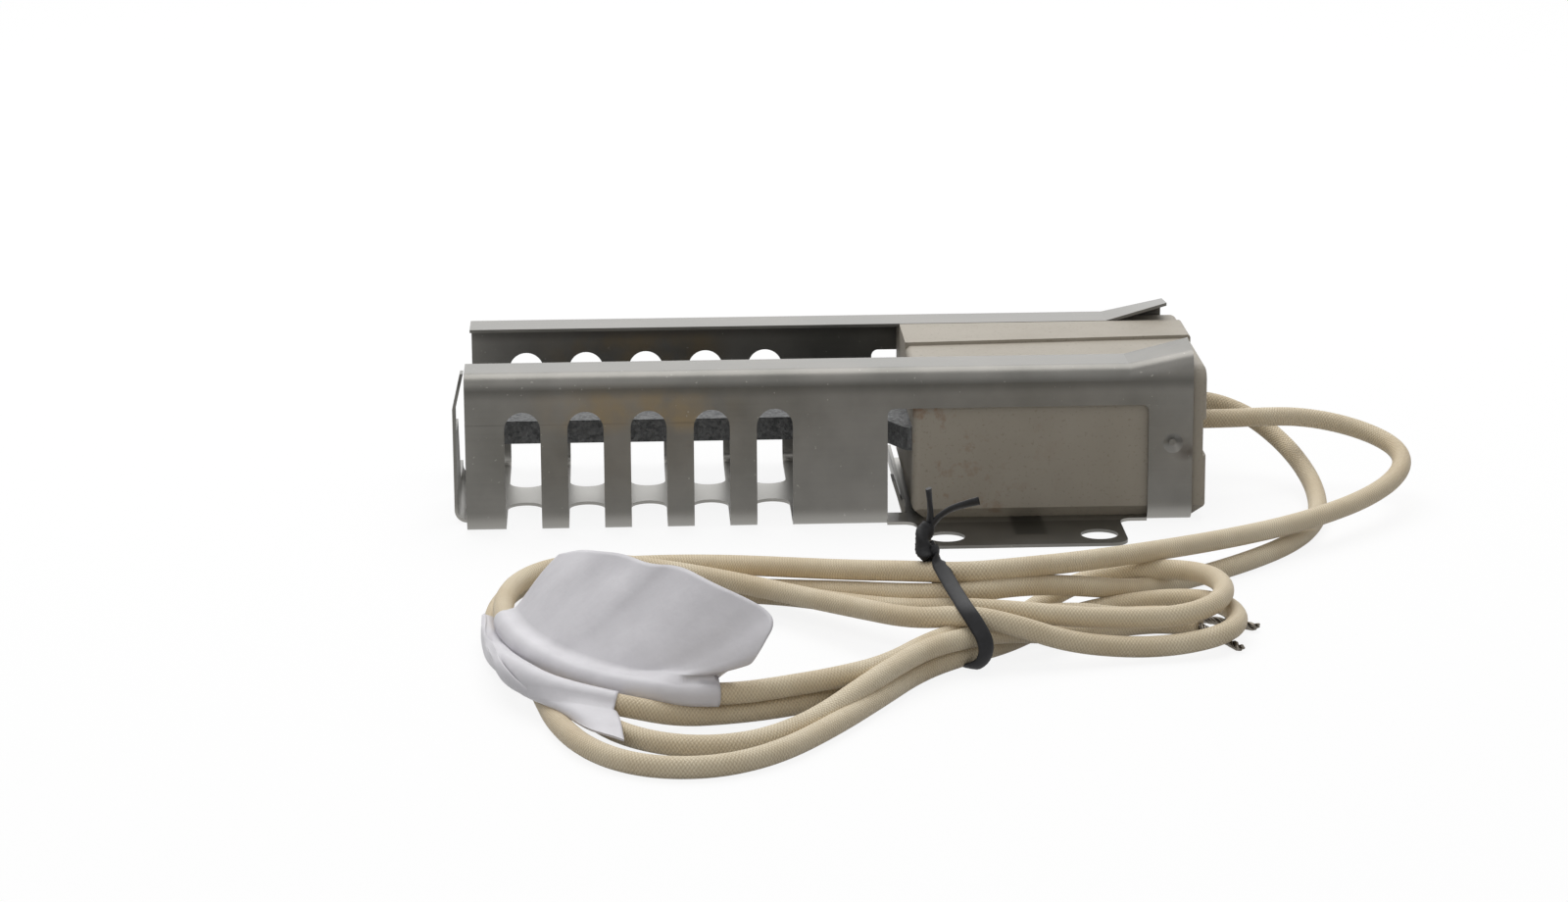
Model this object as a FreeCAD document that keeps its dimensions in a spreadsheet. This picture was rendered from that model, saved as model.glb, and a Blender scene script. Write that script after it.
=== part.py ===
import FreeCAD, Part
import math
import os
import re

import Sketcher

# Hot surface igniter: a flat silicon carbide blade held by a ceramic block in a folded sheet shield.
# All sizes are in millimetres. The pieces are laid out from the shield's front left bottom corner:
# x runs along the shield, y from its front wall to its back wall, z up. Every piece is then moved so
# that the origin lies midway between the two mounting holes, on the underside of the tab.

Vector = FreeCAD.Vector

SIZES = [
    ("sheet", 0.6, "thickness of the shield's sheet"),
    ("shield_length", 136.5, "length of the folded channel"),
    ("shield_width", 50.0, "outside, front wall to back wall"),
    ("shield_height", 30.2, "outside, bottom to flanges"),
    ("bend", 2.8, "outside radius of the channel's bends"),
    ("front_flange", 10.4, "front face to the free edge of the front flange"),
    ("back_flange", 10.8, "back face to the free edge of the back flange"),
    ("slot_clear", 12.0, "the slots' reserve in front of the windows"),
    ("first_slot", 10.7, "left end to the centre of the first slot"),
    ("slot_pitch", 11.8, "slot to slot"),
    ("slot_width", 6.75, "width of a slot"),
    ("slot_top", 23.1, "top of a slot's arch above the underside"),
    ("slot_reach", 19.3, "how far a slot runs in under the bottom"),
    ("window_from_end", 32.9, "right end to the middle of the windows, the tab and the holes"),
    ("window_width", 49.1, "width of the windows"),
    ("window_top", 22.7, "top of the windows above the underside"),
    ("window_corner", 1.3, "radius of the windows' top corners"),
    ("tab_width", 38.5, "width of the mounting tab"),
    ("tab_reach", 16.5, "tab's edge in front of the front face"),
    ("tab_corner", 3.2, "radius of the tab's corners"),
    ("tab_relief", 2.4, "radius of the fillets at the tab's root"),
    ("root_edge", 0.8, "edge of the bottom beside the tab, behind the front face"),
    ("hole_spacing", 28.6, "hole to hole"),
    ("hole_diameter", 7.0, "mounting holes"),
    ("hole_edge", 6.3, "hole centres behind the tab's edge"),
    ("flap_offset", 2.55, "outer face of the end flap, left of the channel"),
    ("flap_bend", 2.4, "outside radius of the flap's bend"),
    ("flap_front", 7.6, "front edge of the flap behind the front face"),
    ("flap_depth", 34.4, "length of the flap's foot"),
    ("flap_height", 17.0, "height of the flap's shoulder"),
    ("flap_shoulder", 13.4, "depth of the shoulder"),
    ("flap_slope", 7.0, "depth of the sloped edge behind the shoulder"),
    ("flap_foot", 3.4, "height of the foot behind the slope"),
    ("finger_width", 3.0, "width of the finger on the flap's front edge"),
    ("finger_knee", 22.0, "height at which the finger leans in"),
    ("finger_tip", 28.9, "height of the finger's tip"),
    ("finger_lean", 1.6, "how far the tip leans in"),
    ("flare_length", 12.0, "length of the flared end of both flanges"),
    ("flare_base", 3.2, "where the flare starts on the wall, below the top"),
    ("flare_rise", 2.2, "rise of the wall's top at the flared end"),
    ("flare_tip", 3.2, "rise of the flange's corner at the flared end"),
    ("flare_pull", 0.8, "how far the flange's edge draws back at the flared end"),
    ("dimple_from_end", 3.7, "right end to the crimp dimple"),
    ("dimple_height", 15.2, "height of the crimp dimple"),
    ("dimple_radius", 1.9, "mouth of the crimp dimple"),
    ("dimple_nose", 0.6, "nose of the crimp dimple"),
    ("dimple_depth", 0.9, "depth of the crimp dimple"),
    ("lip_gap", 3.2, "width of the opening beside the stop lip"),
    ("lip_height", 3.2, "height of the stop lip"),
    ("lip_front", 7.5, "front end of the stop lip behind the front face"),
    ("lug_length", 5.2, "length of the stop lug on the lip"),
    ("lug_height", 6.8, "height of the stop lug"),
    ("lug_lean", 1.9, "how far the lug leans to the left"),
    ("lug_hole", 1.1, "pin hole in the lug"),
    ("block_setback", 4.85, "windows' left edge to the ceramic block"),
    ("block_length", 55.4, "length of the ceramic block"),
    ("block_side_gap", 0.4, "block to each wall"),
    ("block_edge", 1.3, "radius of the block's upright edges"),
    ("block_chamfer", 2.3, "chamfer of the block's lower edges"),
    ("seat_gap", 0.05, "flange to ledge"),
    ("pad_rise", 0.65, "the block's middle above its ledges"),
    ("pad_front_left", 22.6, "front edge of the raised middle at the left"),
    ("pad_front_right", 25.6, "front edge of the raised middle at the right"),
    ("pad_back", 11.2, "raised middle's rear edge, in front of the back face"),
    ("crown", 3.0, "radius of the block's front and rear top edges"),
    ("crimp_notch", 3.2, "radius of the block's notch behind the dimple"),
    ("crimp_notch_depth", 1.4, "depth of that notch"),
    ("groove_depth", 0.7, "groove across the block's right end"),
    ("groove_height", 7.1, "height of the groove and of the cavity behind it"),
    ("cavity_width", 30.0, "width of the cavity for the contacts"),
    ("level", 15.8, "height of the element's middle plane"),
    ("blade_thickness", 4.4, "thickness of the element"),
    ("blade_width", 22.0, "width of the element's glowing part"),
    ("blade_left", 4.5, "left end to the element's tip"),
    ("blade_corner", 3.0, "radius of the tip's corners"),
    ("root_width", 42.0, "width of the element's root"),
    ("root_flare", 6.3, "where the element begins to widen, left of the block"),
    ("root_clear", 1.1, "where it has its full width, left of the block"),
    ("root_depth", 10.5, "the wide root inside the block"),
    ("leg_gap", 3.2, "slit between the element's two legs"),
    ("tip_length", 9.5, "the element's tip to the slit"),
    ("blade_fit", 0.15, "element to the block's slot, all round"),
    ("tang_width", 8.0, "width of each tang that carries a contact"),
    ("tang_length", 10.6, "length of the tangs"),
    ("clip_sheet", 0.4, "thickness of the contact clips"),
    ("clip_fit", 0.02, "clip to tang"),
    ("clip_length", 7.0, "length of the clips"),
    ("barrel_web", 0.3, "web between a clip and its barrel's bore"),
    ("barrel_length", 5.0, "length of the crimp barrels"),
    ("barrel_wall", 0.5, "wall of the crimp barrels"),
    ("conductor", 1.7, "stranded conductor"),
    ("strip_length", 26.0, "conductor stripped inside the block"),
    ("cement_length", 26.5, "depth of the cement behind the groove"),
    ("lead_spacing", 18.0, "lead to lead"),
    ("lead_diameter", 3.6, "over the glass braid"),
    ("bare_length", 12.0, "stripped at the far end"),
    ("bare_diameter", 1.5, "bare strands, twisted"),
    ("waist_width", 21.0, "the bundle at the tie, from front to back"),
    ("waist_height", 15.2, "top of the bundle at the tie"),
    ("tie_width", 3.0, "width of the tie's strap"),
    ("tie_thickness", 1.0, "thickness of the tie's strap"),
    ("hank_height", 7.4, "two layers of lead"),
    ("label_thickness", 0.3, "folded label film"),
    ("label_height", 16.5, "the upper label, from its foot to its head"),
    ("label_radius", 3.0, "the lower label, wrapped round its lead"),
]
SIZE_NAMES = {name for name, number, meaning in SIZES}

# Places that follow from the sizes.
WINDOW_CENTRE = "(shield_length - window_from_end)"
WINDOW_LEFT = f"({WINDOW_CENTRE} - window_width / 2)"
WINDOW_RIGHT = f"({WINDOW_CENTRE} + window_width / 2)"
HOLE_REACH = "(tab_reach - hole_edge)"
SLOT_COUNT = f"(floor(({WINDOW_LEFT} - slot_clear - first_slot) / slot_pitch) + 1)"
BLOCK_LEFT = f"({WINDOW_LEFT} + block_setback)"
ROOT_END = f"({BLOCK_LEFT} + root_depth)"
TANG_END = f"({ROOT_END} + tang_length)"
SLIT_START = "(blade_left + tip_length)"

doc = FreeCAD.newDocument("HotSurfaceIgniter")
sheet = doc.addObject("Spreadsheet::Sheet", "Sizes")
for row, (name, number, meaning) in enumerate(SIZES, start=1):
    sheet.set(f"A{row}", meaning)
    sheet.set(f"B{row}", str(number))
    sheet.setAlias(f"B{row}", name)
doc.recompute()


def formula(text):
    """The formula with each size's name pointing at its cell."""
    def cell(word):
        return "Sizes." + word.group() if word.group() in SIZE_NAMES else word.group()
    return re.sub(r"[a-z_]+", cell, str(text))


def value(text):
    """The number that a formula gives with the sheet's present sizes."""
    return float(sheet.evalExpression(formula(text)))


def bind(item, path, text):
    item.setExpression(path, formula(text))


def new_body(label):
    """A body that stands where the whole igniter stands."""
    body = doc.addObject("PartDesign::Body", label)
    body.Label = label
    place(body)
    return body


def place(item):
    bind(item, "Placement.Base.x", f"-{WINDOW_CENTRE}")
    bind(item, "Placement.Base.y", HOLE_REACH)


def new_sketch(body, plane, offset="0"):
    """A sketch on an origin plane of its body, moved along the plane's normal."""
    sketch = body.newObject("Sketcher::SketchObject", body.Name + "_sketch")
    support = [part for part in body.Origin.OriginFeatures if part.Role == plane][0]
    sketch.AttachmentSupport = (support, [""])
    sketch.MapMode = "FlatFace"
    bind(sketch, "AttachmentOffset.Base.z", offset)
    return sketch


def fix_point(sketch, line, end, corner):
    """Holds a point of the sketch at the two formulas of a corner."""
    for kind, text in (("DistanceX", corner[0]), ("DistanceY", corner[1])):
        index = sketch.addConstraint(Sketcher.Constraint(kind, -1, 1, line, end, value(text)))
        sketch.setExpression(f"Constraints[{index}]", formula(text))


def corner_arc(before, corner, after, radius):
    """The arc that rounds a corner: its circle, its angles and its two touching points."""
    back = (before - corner).normalize()
    ahead = (after - corner).normalize()
    half = back.getAngle(ahead) / 2
    centre = corner + (back + ahead).normalize() * (radius / math.sin(half))
    reach = radius / math.tan(half)
    first = corner + back * reach
    last = corner + ahead * reach
    turns_left = back.cross(ahead).z < 0
    start, end = (first, last) if turns_left else (last, first)
    angles = [math.atan2(point.y - centre.y, point.x - centre.x) for point in (start, end)]
    if angles[1] < angles[0]:
        angles[1] += 2 * math.pi
    circle = Part.Circle(centre, Vector(0, 0, 1), radius)
    return Part.ArcOfCircle(circle, angles[0], angles[1]), first, last, turns_left


def outline(sketch, corners):
    """One closed outline. A corner is (x, y) or (x, y, radius), each a formula."""
    count = len(corners)
    points = [Vector(value(corner[0]), value(corner[1]), 0) for corner in corners]
    rounds = [None] * count
    for index, corner in enumerate(corners):
        if len(corner) == 3:
            rounds[index] = corner_arc(points[index - 1], points[index],
                                       points[(index + 1) % count], value(corner[2]))
    lines = []
    for index in range(count):
        following = (index + 1) % count
        start = rounds[index][2] if rounds[index] else points[index]
        end = rounds[following][1] if rounds[following] else points[following]
        lines.append(sketch.addGeometry(Part.LineSegment(start, end), False))
    for index, corner in enumerate(corners):
        arriving, leaving = lines[index - 1], lines[index]
        if rounds[index] is None:
            sketch.addConstraint(Sketcher.Constraint("Coincident", arriving, 2, leaving, 1))
            fix_point(sketch, leaving, 1, corner)
            continue
        arc = sketch.addGeometry(rounds[index][0], False)
        near, far = (1, 2) if rounds[index][3] else (2, 1)
        sketch.addConstraint(Sketcher.Constraint("Tangent", arriving, 2, arc, near))
        sketch.addConstraint(Sketcher.Constraint("Tangent", arc, far, leaving, 1))
        radius = sketch.addConstraint(Sketcher.Constraint("Radius", arc, value(corner[2])))
        sketch.setExpression(f"Constraints[{radius}]", formula(corner[2]))
        tip = sketch.addGeometry(Part.Point(points[index]), True)
        fix_point(sketch, tip, 1, corner)
        sketch.addConstraint(Sketcher.Constraint("PointOnObject", tip, 1, arriving))
        sketch.addConstraint(Sketcher.Constraint("PointOnObject", tip, 1, leaving))


def rectangle(sketch, left, right, low, high):
    outline(sketch, [(left, low), (right, low), (right, high), (left, high)])


def disc(sketch, x, y, diameter):
    """A full circle, held by its centre and its diameter."""
    circle = Part.Circle(Vector(value(x), value(y), 0), Vector(0, 0, 1), value(diameter) / 2)
    ring = sketch.addGeometry(circle, False)
    fix_point(sketch, ring, 3, (x, y))
    index = sketch.addConstraint(Sketcher.Constraint("Diameter", ring, value(diameter)))
    sketch.setExpression(f"Constraints[{index}]", formula(diameter))


def pad(body, sketch, length, reverse=False):
    feature = body.newObject("PartDesign::Pad", body.Name + "_pad")
    feature.Profile = sketch
    feature.Reversed = reverse
    bind(feature, "Length", length)
    return feature


def pocket(body, sketch, length, reverse=False):
    feature = body.newObject("PartDesign::Pocket", body.Name + "_pocket")
    feature.Profile = sketch
    feature.Reversed = reverse
    bind(feature, "Length", length)
    return feature


def round_edges(body, kind, chosen, size):
    """A fillet or chamfer on the tip's edges for which chosen(edge) is true."""
    doc.recompute()
    tip = body.Tip
    names = [f"Edge{number}" for number, edge in enumerate(tip.Shape.Edges, start=1) if chosen(edge)]
    feature = body.newObject("PartDesign::" + kind, body.Name + "_" + kind.lower())
    feature.Base = (tip, names)
    bind(feature, "Radius" if kind == "Fillet" else "Size", size)
    return feature


def runs_along(edge, axis):
    """True for a straight edge along an axis."""
    if not isinstance(edge.Curve, Part.Line):
        return False
    return abs(edge.Curve.Direction.dot(axis)) > 0.999


def lies_at(edge, x=None, y=None, z=None):
    """True for an edge whose middle lies at the given places, each a formula."""
    middle = edge.CenterOfMass
    wanted = ((middle.x, x), (middle.y, y), (middle.z, z))
    return all(text is None or abs(place_now - value(text)) < 0.02 for place_now, text in wanted)


# The shield: one folded sheet, and the piece that takes the most skill.

def shield_channel(body):
    """The C section of walls, bottom and inturned flanges, with its four long bends."""
    inner = "bend - sheet"
    sketch = new_sketch(body, "YZ_Plane")
    outline(sketch, [
        ("front_flange", "shield_height"), ("0", "shield_height", "bend"), ("0", "0", "bend"),
        ("shield_width", "0", "bend"), ("shield_width", "shield_height", "bend"),
        ("shield_width - back_flange", "shield_height"),
        ("shield_width - back_flange", "shield_height - sheet"),
        ("shield_width - sheet", "shield_height - sheet", inner),
        ("shield_width - sheet", "sheet", inner), ("sheet", "sheet", inner),
        ("sheet", "shield_height - sheet", inner), ("front_flange", "shield_height - sheet")])
    pad(body, sketch, "shield_length")


def shield_slots(body):
    """Arched slots through both walls, carried round the bends into the bottom."""
    left, right = "first_slot - slot_width / 2", "first_slot + slot_width / 2"
    walls = new_sketch(body, "XZ_Plane", "1")
    outline(walls, [(left, "bend"), (right, "bend"), (right, "slot_top", "slot_width * 0.4999"),
                    (left, "slot_top", "slot_width * 0.4999")])
    in_walls = pocket(body, walls, "shield_width + 2")
    bottom = new_sketch(body, "XY_Plane", "-1")
    outline(bottom, [(left, "-1"), (right, "-1"), (right, "slot_reach", "slot_width * 0.4999"),
                     (left, "slot_reach", "slot_width * 0.4999")])
    outline(bottom, [(left, "shield_width + 1"), (left, "shield_width - slot_reach", "slot_width * 0.4999"),
                     (right, "shield_width - slot_reach", "slot_width * 0.4999"),
                     (right, "shield_width + 1")])
    in_bottom = pocket(body, bottom, "bend + 1", reverse=True)
    row = body.newObject("PartDesign::LinearPattern", "slot_row")
    row.Originals = [in_walls, in_bottom]
    row.Direction = (bottom, ["H_Axis"])
    bind(row, "Length", f"slot_pitch * ({SLOT_COUNT} - 1)")
    bind(row, "Occurrences", SLOT_COUNT)
    body.Tip = row


def shield_windows(body):
    """The windows at the ceramic block. The front one's metal stays flat as the mounting tab."""
    left, right = WINDOW_LEFT, WINDOW_RIGHT
    walls = new_sketch(body, "XZ_Plane", "1")
    outline(walls, [(left, "bend"), (right, "bend"), (right, "window_top", "window_corner"),
                    (left, "window_top", "window_corner")])
    pocket(body, walls, "shield_width + 2")
    bends = new_sketch(body, "XY_Plane", "-1")
    rectangle(bends, left, right, "-1", "bend")
    rectangle(bends, left, right, "shield_width - bend", "shield_width + 1")
    pocket(body, bends, "bend + 1", reverse=True)
    tab_left, tab_right = f"{WINDOW_CENTRE} - tab_width / 2", f"{WINDOW_CENTRE} + tab_width / 2"
    flat = new_sketch(body, "XY_Plane")
    outline(flat, [(left, "root_edge"), (tab_left, "root_edge", "tab_relief"),
                   (tab_left, "-tab_reach", "tab_corner"), (tab_right, "-tab_reach", "tab_corner"),
                   (tab_right, "root_edge", "tab_relief"), (right, "root_edge"),
                   (right, "shield_width - root_edge"), (left, "shield_width - root_edge")])
    disc(flat, f"{WINDOW_CENTRE} - hole_spacing / 2", "-" + HOLE_REACH, "hole_diameter")
    disc(flat, f"{WINDOW_CENTRE} + hole_spacing / 2", "-" + HOLE_REACH, "hole_diameter")
    pad(body, flat, "sheet")


def shield_stop(body):
    """The stop for the block: a lip bent up beside its opening, with a leaning lug at the front."""
    left = WINDOW_LEFT
    opening = new_sketch(body, "XY_Plane", "-1")
    rectangle(opening, left, left + " + lip_gap", "lip_front", "shield_width + 1")
    pocket(body, opening, "sheet + 2", reverse=True)
    lip = new_sketch(body, "XZ_Plane", "-lip_front")
    rectangle(lip, left + " + lip_gap", left + " + lip_gap + sheet", "0", "lip_height")
    pad(body, lip, "shield_width - root_edge - lip_front", reverse=True)
    lug = new_sketch(body, "XZ_Plane", "-lip_front")
    foot, lean = left + " + lip_gap", " - lug_lean"
    outline(lug, [(foot, "sheet"), (foot + " + sheet", "sheet"), (foot + " + sheet" + lean, "lug_height"),
                  (foot + lean, "lug_height")])
    pad(body, lug, "lug_length", reverse=True)
    pin = new_sketch(body, "YZ_Plane", left)
    disc(pin, "lip_front + lug_hole * 1.2", "lug_height - lug_hole * 1.6", "lug_hole")
    pocket(body, pin, "lip_gap", reverse=True)


def shield_end_flap(body):
    """The flap bent up from the bottom's left end, with its shoulder, slope and leaning finger."""
    outer, inner = "-flap_offset", "sheet - flap_offset"
    section = new_sketch(body, "XZ_Plane", "-flap_front")
    outline(section, [
        ("sheet", "0"), ("sheet", "sheet"), (inner, "sheet", "flap_bend - sheet"),
        (inner, "finger_knee"), (inner + " + finger_lean", "finger_tip"),
        (outer + " + finger_lean", "finger_tip"), (outer, "finger_knee"), (outer, "0", "flap_bend")])
    pad(body, section, "flap_depth", reverse=True)
    edge = new_sketch(body, "YZ_Plane", "-0.05")
    finger, high = "flap_front + finger_width", "finger_tip + 1"
    shoulder = "flap_front + flap_shoulder"
    outline(edge, [(finger, high), (finger, "flap_height"), (shoulder, "flap_height"),
                   (shoulder + " + flap_slope", "flap_foot"),
                   ("flap_front + flap_depth + 1", "flap_foot"), ("flap_front + flap_depth + 1", high)])
    pocket(body, edge, "flap_offset + 1")


def shield_flares(body):
    """The right ends of both flanges, opened upward so that the block slides in."""
    start, top, base = "shield_length - flare_length", "shield_height", "shield_height - flare_base"
    cut = new_sketch(body, "XZ_Plane", "1")
    rectangle(cut, start, "shield_length + 1", base, top + " + 1")
    pocket(body, cut, "shield_width + 2")
    for wall, inward, flange in (("0", " + ", "front_flange"), ("shield_width", " - ", "back_flange")):
        sections = []
        for place_now, rise, tip, pull in ((start, "0", "0", "0"),
                                           ("shield_length", "flare_rise", "flare_tip", "flare_pull")):
            section = new_sketch(body, "YZ_Plane", place_now)
            edge = f"{wall}{inward}({flange} - {pull})"
            outline(section, [
                (wall, base), (wall, f"{top} + {rise}", "bend"), (edge, f"{top} + {tip}"),
                (edge, f"{top} + {tip} - sheet"),
                (f"{wall}{inward}sheet", f"{top} + {rise} - sheet", "bend - sheet"),
                (f"{wall}{inward}sheet", base)])
            sections.append(section)
        loft = body.newObject("PartDesign::AdditiveLoft", body.Name + "_flare")
        loft.Profile = sections[0]
        loft.Sections = [sections[1]]


def shield_dimple(body):
    """The crimp that is punched into the front wall and keys the block."""
    for kind, mouth, nose, depth in (
            ("AdditiveCone", "dimple_radius + sheet * 0.6", "dimple_nose + sheet * 0.6",
             "dimple_depth + sheet"),
            ("SubtractiveCone", "dimple_radius", "dimple_nose", "dimple_depth")):
        cone = body.newObject("PartDesign::" + kind, body.Name + "_" + kind)
        cone.Placement = FreeCAD.Placement(Vector(), FreeCAD.Rotation(Vector(1, 0, 0), -90))
        bind(cone, "Placement.Base.x", "shield_length - dimple_from_end")
        bind(cone, "Placement.Base.z", "dimple_height")
        bind(cone, "Radius1", mouth)
        bind(cone, "Radius2", nose)
        bind(cone, "Height", depth)


shield = new_body("shield_bracket")
shield_channel(shield)
shield_slots(shield)
shield_windows(shield)
shield_stop(shield)
shield_end_flap(shield)
shield_flares(shield)
shield_dimple(shield)


# The ceramic block: moulded, keyed under both flanges, open for the element and the leads.

BLOCK_FRONT = "sheet + block_side_gap"
BLOCK_BACK = "shield_width - sheet - block_side_gap"
BLOCK_RIGHT = f"{BLOCK_LEFT} + block_length"
LEDGE = "shield_height - sheet - seat_gap"
MIDDLE = "shield_width / 2"

block = new_body("ceramic_block")


def block_body():
    base = new_sketch(block, "YZ_Plane", BLOCK_LEFT)
    outline(base, [(BLOCK_FRONT, "sheet + block_chamfer"), (BLOCK_FRONT + " + block_chamfer", "sheet"),
                   (BLOCK_BACK + " - block_chamfer", "sheet"), (BLOCK_BACK, "sheet + block_chamfer"),
                   (BLOCK_BACK, LEDGE, "crown"), (BLOCK_FRONT, LEDGE, "crown")])
    pad(block, base, "block_length")
    ends = new_sketch(block, "XZ_Plane", "1")
    foot = "sheet + block_chamfer"
    outline(ends, [(BLOCK_LEFT + " - 1", "0"), (BLOCK_LEFT + " + block_chamfer", "0"),
                   (BLOCK_LEFT + " + block_chamfer", "sheet"), (BLOCK_LEFT, foot), (BLOCK_LEFT + " - 1", foot)])
    outline(ends, [(BLOCK_RIGHT + " + 1", "0"), (BLOCK_RIGHT + " + 1", foot), (BLOCK_RIGHT, foot),
                   (BLOCK_RIGHT + " - block_chamfer", "sheet"), (BLOCK_RIGHT + " - block_chamfer", "0")])
    pocket(block, ends, "shield_width + 2")
    raised = new_sketch(block, "XY_Plane", LEDGE)
    outline(raised, [(BLOCK_LEFT, "pad_front_left"), (BLOCK_RIGHT, "pad_front_right"),
                     (BLOCK_RIGHT, "shield_width - pad_back"), (BLOCK_LEFT, "shield_width - pad_back")])
    pad(block, raised, "pad_rise")


def block_hollows():
    """The slot for the element's root, the cavity for the contacts and the groove at the right end."""
    slot = new_sketch(block, "YZ_Plane", BLOCK_LEFT)
    half_width, half_height = "(root_width / 2 + blade_fit)", "(blade_thickness / 2 + blade_fit)"
    rectangle(slot, f"{MIDDLE} - {half_width}", f"{MIDDLE} + {half_width}",
              f"level - {half_height}", f"level + {half_height}")
    pocket(block, slot, "root_depth + blade_fit", reverse=True)
    cavity = new_sketch(block, "YZ_Plane", BLOCK_RIGHT)
    rectangle(cavity, f"{MIDDLE} - cavity_width / 2", f"{MIDDLE} + cavity_width / 2",
              "level - groove_height / 2", "level + groove_height / 2")
    pocket(block, cavity, "block_length - root_depth - blade_fit")
    groove = new_sketch(block, "YZ_Plane", BLOCK_RIGHT)
    rectangle(groove, "0", "shield_width", "level - groove_height / 2", "level + groove_height / 2")
    pocket(block, groove, "groove_depth")
    notch = new_sketch(block, "XZ_Plane", f"-({BLOCK_FRONT})")
    disc(notch, "shield_length - dimple_from_end", "dimple_height", "crimp_notch * 2")
    pocket(block, notch, "crimp_notch_depth")


block_body()
round_edges(block, "Fillet",
            lambda edge: runs_along(edge, Vector(0, 0, 1)) and edge.Length > 10, "block_edge")
round_edges(block, "Fillet", lambda edge: lies_at(edge, x=BLOCK_RIGHT) and edge.CenterOfMass.z
            > value(LEDGE) - 0.01 and runs_along(edge, Vector(0, 1, 0)), "block_edge / 2")
block_hollows()


# The element: one flat silicon carbide hairpin whose root widens at the block.

element = new_body("heating_element")


def element_outline():
    """The hairpin seen from above: tip, two legs, wide root and two tangs for the contacts."""
    flat = new_sketch(element, "XY_Plane", "level - blade_thickness / 2")
    tang_near, tang_far = "(lead_spacing - tang_width) / 2", "(lead_spacing + tang_width) / 2"
    half = [(ROOT_END, "leg_gap / 2"), (ROOT_END, tang_near), (TANG_END, tang_near),
            (TANG_END, tang_far), (ROOT_END, tang_far), (ROOT_END, "root_width / 2"),
            (BLOCK_LEFT + " - root_clear", "root_width / 2", "2"),
            (BLOCK_LEFT + " - root_flare", "blade_width / 2", "2"),
            ("blade_left", "blade_width / 2", "blade_corner")]
    rear = [(x, f"{MIDDLE} + {y}", *rest) for x, y, *rest in half]
    front = [(x, f"{MIDDLE} - {y}", *rest) for x, y, *rest in reversed(half)]
    slit = [(SLIT_START, f"{MIDDLE} - leg_gap / 2", "leg_gap * 0.4999"),
            (SLIT_START, f"{MIDDLE} + leg_gap / 2", "leg_gap * 0.4999")]
    outline(flat, rear + front + slit)
    pad(element, flat, "blade_thickness")


element_outline()


# Inside the block: a pressed clip on each tang, its crimp barrel, the conductor and the cement.

CEMENT_FACE = BLOCK_RIGHT + " - groove_depth"
CLIP_END = TANG_END + " + clip_fit + clip_sheet"
LEAD_START = CLIP_END + " + barrel_web + strip_length"


def contact_clip(label, centre):
    """A clip folded round the tang from above, the end and below, with a barrel behind."""
    clip = new_body(label)
    half = "(blade_thickness / 2 + clip_fit)"
    section = new_sketch(clip, "XZ_Plane", f"-({centre} - tang_width * 0.4)")
    rear_inner = TANG_END + " + clip_fit"
    front = TANG_END + " - clip_length"
    outline(section, [
        (front, f"level - {half} - clip_sheet"), (CLIP_END, f"level - {half} - clip_sheet"),
        (CLIP_END, f"level + {half} + clip_sheet"), (front, f"level + {half} + clip_sheet"),
        (front, f"level + {half}"), (rear_inner, f"level + {half}"), (rear_inner, f"level - {half}"),
        (front, f"level - {half}")])
    pad(clip, section, "tang_width * 0.8", reverse=True)
    barrel = new_sketch(clip, "YZ_Plane", CLIP_END)
    disc(barrel, centre, "level", "conductor + 2 * barrel_wall")
    pad(clip, barrel, "barrel_length")
    bore = new_sketch(clip, "YZ_Plane", CLIP_END + " + barrel_web")
    disc(bore, centre, "level", "conductor + 0.04")
    pocket(clip, bore, "barrel_length", reverse=True)
    return clip


def conductor_end(label, centre):
    wire = new_body(label)
    end = new_sketch(wire, "YZ_Plane", CLIP_END + " + barrel_web")
    disc(end, centre, "level", "conductor")
    pad(wire, end, "strip_length")
    return wire


REAR, FRONT = f"{MIDDLE} + lead_spacing / 2", f"{MIDDLE} - lead_spacing / 2"
pieces = [shield, block, element]
for side, centre in (("rear", REAR), ("front", FRONT)):
    pieces.append(contact_clip("contact_clip_" + side, centre))
    pieces.append(conductor_end("conductor_" + side, centre))


def potting_cement():
    cement = new_body("potting_cement")
    face = new_sketch(cement, "YZ_Plane", CEMENT_FACE)
    rectangle(face, f"{MIDDLE} - cavity_width / 2", f"{MIDDLE} + cavity_width / 2",
              "level - groove_height / 2", "level + groove_height / 2")
    pad(cement, face, "cement_length", reverse=True)
    leads = new_sketch(cement, "YZ_Plane", CEMENT_FACE)
    disc(leads, REAR, "level", "lead_diameter + 0.04")
    disc(leads, FRONT, "level", "lead_diameter + 0.04")
    pocket(cement, leads, f"{CEMENT_FACE} - ({LEAD_START})")
    wires = new_sketch(cement, "YZ_Plane", CEMENT_FACE)
    disc(wires, REAR, "level", "conductor + 0.04")
    disc(wires, FRONT, "level", "conductor + 0.04")
    pocket(cement, wires, "cement_length")
    return cement


pieces.append(potting_cement())


# The leads. Their free stretches are tubes of straight runs and arcs, in the igniter's own frame,
# and their hank on the floor in front is one closed solid with the outline of its turns.

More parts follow.
